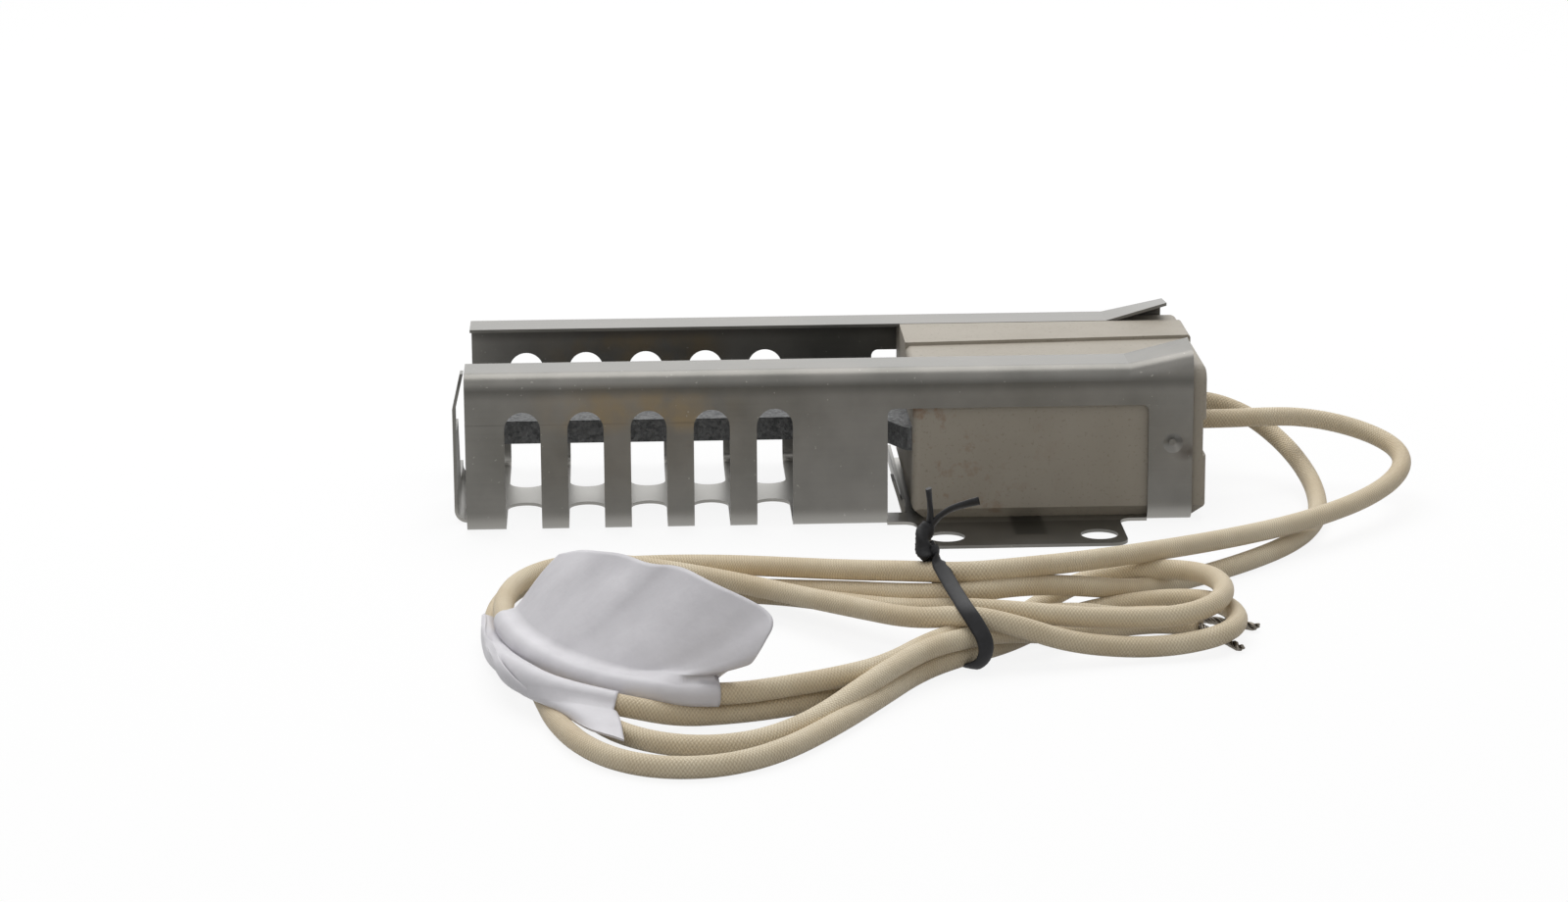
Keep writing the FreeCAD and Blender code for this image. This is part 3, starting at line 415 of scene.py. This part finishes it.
# The free stretches, whose points are those of the CAD tubes or within 3 mm of them. Both leads then make
# two figure-eight turns.
FRONT_FREE = [(28.1, 26.2, 15.8), (41.0, 26.2, 15.8), (49.4, 29.0, 15.4), (57.0, 34.2, 14.0),
              (64.7, 35.0, 12.4), (71.0, 32.0, 10.8), (74.7, 26.3, 9.4), (74.8, 19.5, 8.0),
              (71.2, 11.4, 6.8), (64.8, 2.6, 6.0), (56.8, -5.6, 5.6), (47.0, -14.6, 5.6),
              (34.0, -26.4, 6.6), (19.0, -40.6, 8.6), (5.0, -53.2, 10.6), (-6.5, -62.8, 12.4),
              (-17.0, -67.6, 13.0)]
REAR_FREE = [(28.1, 44.2, 15.8), (38.6, 44.2, 15.8), (48.4, 43.6, 12.4), (55.0, 37.4, 7.6), (58.0, 27.0, 4.0),
             (57.8, 14.5, 2.1), (55.0, 1.0, 1.8), (49.0, -12.0, 1.8), (39.4, -23.6, 1.8), (27.1, -34.6, 1.8),
             (15.5, -44.6, 2.6)]

# The turns, as they lie: outermost left turn, right eye and inner left turn of the front lead.
FRONT_LEFT_OUTER = [(-26, -62.2, 12), (-35, -52, 9.4), (-45, -42, 7.2), (-55, -32, 5), (-65, -24, 3),
                    (-76, -20.5, 1.8), (-86, -23.5, 1.8), (-93, -32, 1.8), (-96.6, -44, 1.8),
                    (-97.2, -58, 1.8), (-96.4, -72.5, 2.2), (-94.8, -84, 4), (-92, -94.5, 5.4),
                    (-87.6, -103.4, 5.6),
                    (-81.5, -109, 5.4), (-74.5, -110.6, 4.2), (-66.2, -109.9, 2.2), (-58.3, -107.8, 1.8),
                    (-50.3, -105.4, 1.8), (-42.2, -101, 1.8), (-33, -91.6, 1.8), (-24.5, -80.8, 2),
                    (-17, -75.8, 2.6)]
FRONT_RIGHT = [(-10, -64.6, 2), (-3, -53.8, 2.8), (5.5, -45.3, 4.8), (15.6, -40.4, 5.3), (24, -42.2, 5.6),
               (28.6, -50, 6.6), (29.3, -60.5, 7.1), (26, -69, 7), (20.4, -73.4, 6.6), (13, -74.4, 6.4),
               (3, -75.2, 7), (-7, -75.4, 8.2), (-17, -73.6, 8.6)]
FRONT_LEFT_INNER = [(-26, -67.2, 6.6), (-35, -58.2, 5), (-45, -47.2, 3.5), (-55, -39.9, 2.2), (-65, -36, 1.8),
                    (-75, -36, 1.8), (-82, -41, 1.8), (-85, -50, 1.8), (-85.6, -61, 1.8), (-85.4, -74, 1.8),
                    (-84.8, -87, 1.8), (-83, -99, 1.8), (-79.6, -110, 1.8), (-74.4, -118.4, 1.8),
                    (-67.4, -123.6, 1.8), (-60, -124.6, 1.8), (-52, -121.2, 1.8), (-43.6, -113.4, 2.6),
                    (-34, -100.8, 5), (-25, -87, 5.6), (-17, -81.6, 5.9)]
FRONT_END = [(-9.5, -76, 5), (-2, -71.6, 3.2), (6, -65.8, 1.8), (13, -62.4, 1.8), (19.5, -61.8, 1.8),
             (24.2, -64.4, 1.8)]
REAR_CROSSING = [(5, -54, 6.4), (-6, -62.8, 9.4), (-17, -69.4, 9.9), (-27, -62.7, 8.1), (-36, -51.9, 5.6),
                 (-45.5, -42.2, 3.2)]
REAR_LEFT_OUTER = [(-55, -35.6, 1.8), (-65, -31, 1.8), (-75, -30, 1.8), (-83.5, -34, 1.8), (-88.6, -43, 1.8),
                   (-90.6, -54, 1.8), (-90.6, -68, 1.8), (-90, -83, 1.8), (-88, -97, 1.8), (-85.4, -112, 1.8),
                   (-80.8, -124.2, 1.8), (-74.4, -132, 1.8), (-66.6, -135, 1.8), (-58.2, -133.6, 1.8),
                   (-50, -127.2, 1.8), (-41.6, -115.2, 1.8), (-33.5, -101.2, 1.8), (-25.5, -87, 2),
                   (-17, -80.2, 2.6)]
REAR_RIGHT = [(-10, -72.5, 1.9), (-3, -62.8, 1.8), (5, -54.2, 1.8), (13, -50, 1.8), (20.4, -48.6, 2.2),
              (27.2, -51.6, 2.8), (30.6, -58.6, 3.3), (30.6, -67.8, 3.4), (26.4, -74.6, 3.2), (19, -77, 2.4),
              (10.5, -78, 2.4), (0, -79.4, 4), (-9, -80.2, 7.4), (-17, -80.2, 9.3)]
REAR_LEFT_UPPER = [(-26, -76.8, 7.8), (-35, -65.5, 6.6), (-45, -53, 5.4), (-55, -43, 5), (-65, -36.5, 5.2),
                   (-76, -31, 5.4), (-86, -32, 5.4), (-92.4, -40, 5.4), (-95.2, -51, 5.4), (-95.2, -64, 5.4),
                   (-92.6, -78, 5.4), (-87.4, -90, 5.4), (-80, -100, 5.4), (-72, -107, 5.8),
                   (-64.1, -109.8, 5.8), (-56.2, -108.6, 5.4), (-48.2, -105.2, 5.4), (-39.9, -101, 5.4),
                   (-31.5, -94.8, 5.4), (-24, -83.6, 5.6), (-17, -77.4, 5.9)]
REAR_END = [(-9.5, -71.6, 5.6), (-2.5, -65.6, 4.9), (4.5, -61.5, 3.8), (11, -58.6, 1.9), (17.5, -57.4, 1.8),
            (23, -58.4, 1.8)]

FRONT_ROUTE = FRONT_FREE + FRONT_LEFT_OUTER + FRONT_RIGHT + FRONT_LEFT_INNER + FRONT_END
REAR_ROUTE = REAR_FREE + REAR_CROSSING + REAR_LEFT_OUTER + REAR_RIGHT + REAR_LEFT_UPPER + REAR_END


def braided_lead(name, route):
    """A lead along its spline: a round tube, whose braid is in its material."""
    line = spline_line(mm(route), FINE_STEP)
    made = grid_mesh(name, tube(line, mm(LEAD_THICK / 2), LEAD_SIDES), along=run_of(line))
    made.data.materials.append(BRAID)
    return made, line


WIRE_THICK = 0.52
WIRES_ROUND_CORE = 6
WIRE_RING = 0.48  # from the core's centre to the wires twisted round it
WIRE_TURNS = 2.2  # turns that each wire makes along the stripped end
WIRE_SHORTER = 0.02  # share of the length by which the wires' ends step back from each other


def bare_strands(name, start, end):
    """The stripped end of a lead: wires twisted round a core wire, each a thin tube along a helix
    p(t) = start + (end - start) t + r (side cos w + up sin w), where w turns with t."""
    start, end = np.asarray(start, float), np.asarray(end, float)
    way = unit(end - start)
    side = unit(np.cross((0, 0, 1), way))
    upward = np.cross(way, side)
    t = np.linspace(0, 1, 60)
    wires = []
    for k in range(WIRES_ROUND_CORE + 1):
        r = 0.0 if k == WIRES_ROUND_CORE else WIRE_RING
        swirl = TURN * (k / WIRES_ROUND_CORE + WIRE_TURNS * t)
        reach = (end - start) * (1 - WIRE_SHORTER * (k * 3 % 5))
        line = (start + np.outer(t, reach) + (r * np.cos(swirl))[:, None] * side
                + (r * np.sin(swirl))[:, None] * upward)
        wires.append(grid_mesh(f"{name}_{k}", tube(mm(line), mm(WIRE_THICK / 2), 10)))
        wires[-1].data.materials.append(STRAND_METAL)
    with bpy.context.temp_override(active_object=wires[0], selected_editable_objects=wires):
        bpy.ops.object.join()
    wires[0].name = wires[0].data.name = name
    return wires[0]


front_lead, front_line = braided_lead("front_lead", FRONT_ROUTE)
rear_lead, rear_line = braided_lead("rear_lead", REAR_ROUTE)
front_tip = bare_strands("front_bare_end", front_line[-1] * 1000, (29.9, -74.5, 0.8))
rear_tip = bare_strands("rear_bare_end", rear_line[-1] * 1000, (34.7, -62.3, 0.8))

# Twist tie.

TIE_LOOP = [(-22.1, -63.6, 16.4), (-21.1, -64.3, 14.8), (-20.1, -68.4, 13.2), (-18.9, -74.2, 11.9),
            (-17.5, -81.6, 10.8), (-15.8, -83.3, 8.4), (-14.6, -84.7, 6.4), (-14.3, -84.4, 4.1),
            (-15.0, -83.3, 1.9), (-16.9, -82.7, 0.9), (-17.6, -79, 0.85), (-18, -73, 0.95),
            (-18.8, -67.4, 3.4), (-20, -64.6, 8.6), (-21.4, -63, 13.4), (-22.8, -62, 16.8)]
TIE_STEM = [(-22.4, -64, 14.6), (-23.6, -63, 16.4), (-23.4, -62, 18.2), (-22.2, -61.4, 20)]
TIE_TAILS = [[(-22.2, -61.4, 19), (-21.9, -61, 21.5), (-22.1, -61, 24), (-22.3, -61, 26.2)],
             [(-22.3, -61.5, 19), (-21.2, -61, 20.6), (-19.5, -61, 22), (-17.5, -61, 23), (-13.6, -61, 23.9)]]


def strap(name, points, width, thick, twist=0.0):
    """A flat strap along a smooth line: an oval section, half width and half thickness, that turns by twist
    along the way."""
    line = spline_line(mm(points), FINE_STEP)
    along = heading(line)
    out = line - line.mean(axis=0)
    out = unit(out - part_along(out, along))
    wide = np.cross(along, out)
    turn = twist * np.linspace(0, 1, len(line))[:, None]
    wide, out = wide * np.cos(turn) + out * np.sin(turn), out * np.cos(turn) - wide * np.sin(turn)
    made = grid_mesh(name, line[:, None] + ring(wide * mm(width / 2), out * mm(thick / 2), 16))
    made.data.materials.append(TIE_PLASTIC)
    return made


tie_parts = [strap("twist_tie_loop", TIE_LOOP, width=2.8, thick=0.9),
             strap("twist_tie_stem", TIE_STEM, width=3.2, thick=2.4, twist=6.0)]
tie_parts += [strap(f"twist_tie_tail_{k}", points, width=1.8, thick=1.0, twist=1.0)
              for k, points in enumerate(TIE_TAILS)]

# Labels.


FILM_THICK = 0.12
FILM_APART = 0.22  # between the middles of a label's two legs
WRAP_RADIUS = LEAD_THICK / 2 + 0.25  # of the film round its lead
WRAP_OPEN = 0.55  # radians at each leg that the wrap leaves out
NECK = 1.45  # wrap radii from the lead's centre to the place where the legs meet
FLAG_COLUMNS = 120  # points along the lead
EDGE_STEP = 0.0005  # metres between the points of a free edge


def nearest(line, place):
    """Index of the point of a line nearest to a place in millimetres."""
    return int(np.argmin(np.linalg.norm(line - mm(place), axis=1)))


def folded_label(name, line, first, last, edge):
    """A label folded round a lead, from one place to another. The film comes down from the flag's free edge,
    goes round the lead and returns beside itself. With u from the lead (0) to the free edge (1), a leg is
    joint + across u + along u^0.6 + wave(s, u), and the wrap is centre + r (p cos a + q sin a)."""
    centre = spaced(line[nearest(line, first):nearest(line, last)], FLAG_COLUMNS)
    free_edge = spaced(spline_line(mm(edge), EDGE_STEP), FLAG_COLUMNS)
    along = heading(centre)
    reach = free_edge - centre
    forward = part_along(reach, along)
    p = reach - forward
    height = np.linalg.norm(p, axis=1, keepdims=True)
    p /= height
    q = np.cross(along, p)
    r = mm(WRAP_RADIUS)
    u, s = np.linspace(0, 1, 26)[None, :, None], np.linspace(0, 1, FLAG_COLUMNS)[:, None, None]
    wave = mm(0.6) * np.sin(7 * s + 3 * u) * u + mm(0.3) * np.sin(19 * s - 2 * u) * u ** 2
    joint = centre + p * NECK * r
    leg = (joint[:, None] + (p * (height - NECK * r))[:, None] * u + forward[:, None] * u ** 0.6
           + wave * q[:, None])
    a = np.linspace(WRAP_OPEN, TURN - WRAP_OPEN, 30)[None, :, None]
    wrap = centre[:, None] + r * (np.cos(a) * p[:, None] + np.sin(a) * q[:, None])
    apart = mm(FILM_APART / 2) * q[:, None]
    made = grid_mesh(name, np.concatenate([leg[:, ::-1] + apart, wrap, leg - apart], axis=1), around=False)
    film = made.modifiers.new("film", "SOLIDIFY")
    film.thickness, film.offset = mm(FILM_THICK), 0.0
    made.data.materials.append(FILM)
    return made


# The labels' free edges, from their left ends on.
UPPER_EDGE = [(-85.4, -67.3, 17.5), (-82.4, -70.9, 19.5), (-78.6, -78.3, 21), (-74.5, -82.7, 22),
              (-70.5, -90.9, 22.4), (-65.3, -93.0, 22.4), (-60.2, -101.6, 21.8), (-54.9, -105.9, 20.5),
              (-51.0, -108.0, 18.6), (-50.4, -110.3, 17), (-51.8, -111.2, 15), (-53.3, -111.9, 12.8),
              (-54.7, -111.2, 10.8), (-57.2, -107.1, 9.6), (-59.5, -108.2, 8)]
LOWER_EDGE = [(-98.6, -58, 4.4), (-98.4, -72, 5), (-97, -84, 6), (-93.6, -97, 6.4), (-89.2, -104, 4.6),
              (-86.4, -108, 3.6), (-83.4, -114, 3.8), (-80.4, -119.4, 3.8), (-77.4, -124.4, 3.8),
              (-75, -128, 3.6)]
upper_label = folded_label("upper_label", rear_line, (-95.2, -66, 5.4), (-59, -109.1, 5.7), UPPER_EDGE)
lower_label = folded_label("lower_label", front_line, (-97.2, -58, 1.9), (-75.5, -110.3, 4.4), LOWER_EDGE)

# Finishes of the carried-over parts.

for part, finish in (("shield_bracket", STEEL), ("ceramic_block", CERAMIC), ("heating_element", CARBIDE),
                     ("contact_clip_rear", CLIP_METAL), ("contact_clip_front", CLIP_METAL),
                     ("conductor_rear", STRAND_METAL), ("conductor_front", STRAND_METAL),
                     ("potting_cement", CEMENT)):
    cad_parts[part].data.materials.clear()
    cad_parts[part].data.materials.append(finish)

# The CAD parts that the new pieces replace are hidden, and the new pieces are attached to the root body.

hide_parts("lead_rear", "lead_hank")
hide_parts("lead_front")
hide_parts("lead_end_front")
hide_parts("lead_end_rear")
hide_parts("twist_tie")
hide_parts("label_flag")
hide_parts("label_sleeve")
for piece, finish in ((rear_lead, "glass_braid"), (front_lead, "glass_braid"), (front_tip, "bare_strands"),
                      (rear_tip, "bare_strands"), (upper_label, "label_film"), (lower_label, "label_film"),
                      *((p, "tie_plastic") for p in tie_parts)):
    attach(piece, "root")
for lead, line, route, tip in ((front_lead, front_line, FRONT_ROUTE, front_tip),
                               (rear_lead, rear_line, REAR_ROUTE, rear_tip)):
    mm(LEAD_THICK).item()

# Floor, light and camera.


def sees_background(tree):
    """1 on the camera's rays and in reflections and clear things, 0 on the rays that carry light."""
    rays = add(tree, "LightPath")
    seen = add(tree, "Math", {0: rays.outputs["Is Camera Ray"], 1: rays.outputs["Is Glossy Ray"]},
               operation="MAXIMUM").outputs[0]
    return add(tree, "Math", {0: seen, 1: rays.outputs["Is Transmission Ray"]},
               operation="MAXIMUM").outputs[0]


def white_floor():
    """Seamless studio paper: white to the camera and in reflections, but it keeps the soft shadow."""
    material, tree, out = empty_material("studio_paper")
    seen = sees_background(tree)
    share = add(tree, "Math", {0: seen, 1: 0.88}, operation="MULTIPLY").outputs[0]
    shade = add(tree, "MapRange", {"Value": seen, "To Min": 0.45, "To Max": 1.0}).outputs[0]
    paper = add(tree, "BsdfDiffuse", {"Color": shade})
    glow = add(tree, "Emission", {"Color": (1, 1, 1, 1), "Strength": 1.0})
    mixed = add(tree, "MixShader", {0: share, 1: paper.outputs[0], 2: glow.outputs[0]})
    tree.links.new(mixed.outputs[0], out.inputs[0])
    return material


def placed(name, data, x, y, z, place):
    """A lamp or camera whose own axes point along x, y and z, at a place in metres."""
    made = bpy.data.objects.new(name, data)
    made.matrix_world = Matrix(np.vstack([np.column_stack([x, y, z, place]), (0, 0, 0, 1)]).tolist())
    bpy.context.scene.collection.objects.link(made)
    return made


FLOOR_HALF = 3.0  # metres
LAMPS = (  # name, place and width in metres, watts
    ("lamp_above", (-0.1, 0.35, 0.9), 1.0, 7.5),
    ("lamp_behind", (0.1, 1.4, 0.42), 1.2, 3.0),
    ("lamp_front", (-0.5, -0.9, 0.6), 0.8, 1.2),
)


def studio():
    """A white floor, a white world, broad lamps above and low behind, and a weak one at the front."""
    corners = [[(x, y, 0) for x in (-FLOOR_HALF, FLOOR_HALF)] for y in (-FLOOR_HALF, FLOOR_HALF)]
    floor = grid_mesh("floor", np.array(corners, float), around=False)
    floor.data.materials.append(white_floor())
    world = bpy.data.worlds.new("studio")
    world.use_nodes = True
    tree = world.node_tree
    tree.nodes.clear()
    light = add(tree, "Background", {"Color": (1, 1, 1, 1), "Strength": 0.36})
    white = add(tree, "Background", {"Color": (1, 1, 1, 1), "Strength": 1.0})
    mixed = add(tree, "MixShader", {0: sees_background(tree), 1: light.outputs[0], 2: white.outputs[0]})
    tree.links.new(mixed.outputs[0], tree.nodes.new("ShaderNodeOutputWorld").inputs[0])
    bpy.context.scene.world = world
    for name, place, width, watts in LAMPS:
        lamp = bpy.data.lights.new(name, "AREA")
        lamp.size, lamp.energy = width, watts
        back = unit(np.array(place))
        side = unit(np.cross((0, 0, 1), back))
        placed(name, lamp, side, np.cross(back, side), back, place)


CAMERA_PLACE = (-75.236, -755.078, 211.385)
CAMERA_TURN = (-2.336, -14.386, 0.361)  # degrees: to the side, down, and about its own line of sight
CAMERA_LENS = 96.91


def photo_camera():
    """The camera where the photograph was taken from."""
    yaw, pitch, roll = np.radians(CAMERA_TURN)
    turned = Matrix.Rotation(yaw, 3, "Z") @ Matrix.Rotation(pitch, 3, "X") @ Matrix.Rotation(roll, 3, "Y")
    data = bpy.data.cameras.new("photo_camera")
    data.sensor_fit, data.sensor_width, data.lens = "HORIZONTAL", 36.0, CAMERA_LENS
    data.clip_start, data.clip_end = 0.01, 20.0
    x, forward, up = (np.array(turned.col[k]) for k in range(3))
    bpy.context.scene.camera = placed("photo_camera", data, x, up, -forward, mm(CAMERA_PLACE))


studio()
photo_camera()
bpy.context.scene.view_settings.view_transform = "Standard"
